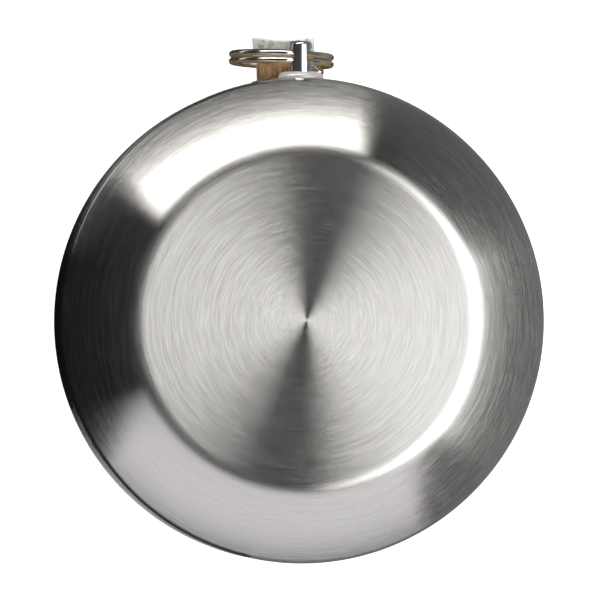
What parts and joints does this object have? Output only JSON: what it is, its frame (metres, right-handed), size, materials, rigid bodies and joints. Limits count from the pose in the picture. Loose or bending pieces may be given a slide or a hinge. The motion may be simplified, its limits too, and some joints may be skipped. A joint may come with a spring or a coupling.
{
  "type": "canteen",
  "caption": "Round flat canteen of brushed steel with dished faces, a cork stopper with a fluted metal cap, and a lanyard post carrying a split ring.",
  "frame": {"origin": "centre of the flat back face, which the canteen lies on", "axes": "+Z out of the front face along the drum's axis, +Y out of the mouth, +X to the right as seen from the front"},
  "size_m": [0.1424, 0.1549, 0.067],
  "materials": {
    "brushed_body": "circular brushed, satin",
    "inner_steel": "plain, as turned",
    "polished_fittings": "mirror polished",
    "cap_nickel": "cast, fluted and lightly polished",
    "cork": "natural cork with dark pores"
  },
  "bodies": {
    "flask": {"front_shell": "brushed_body", "rear_shell": "brushed_body", "side_band": "brushed_body", "front_seam": "inner_steel", "rear_seam": "inner_steel", "neck_tube": "inner_steel", "mouth_lip": "inner_steel", "lanyard_post": "polished_fittings", "post_base": "polished_fittings", "post_washer": "inner_steel", "post_nut": "inner_steel", "side_stud": "polished_fittings", "stud_washer": "inner_steel"},
    "stopper": {"stopper_cap": "cap_nickel", "stopper_cork": "cork", "stopper_stem": "inner_steel", "stopper_washer": "inner_steel", "stopper_nut": "inner_steel"},
    "split_ring": {"split_ring": "polished_fittings"}
  },
  "joints": [
    {"name": "stopper_pull", "type": "slide", "parent": "flask", "child": "stopper", "axis": [0, 1, 0], "range_m": [0, 0.02]},
    {"name": "ring_swing", "type": "hinge", "parent": "flask", "child": "split_ring", "pos_m": [0, 0.07715, 0.04365], "axis": [1, 0, 0], "range_deg": [-3, 206]}
  ]
}
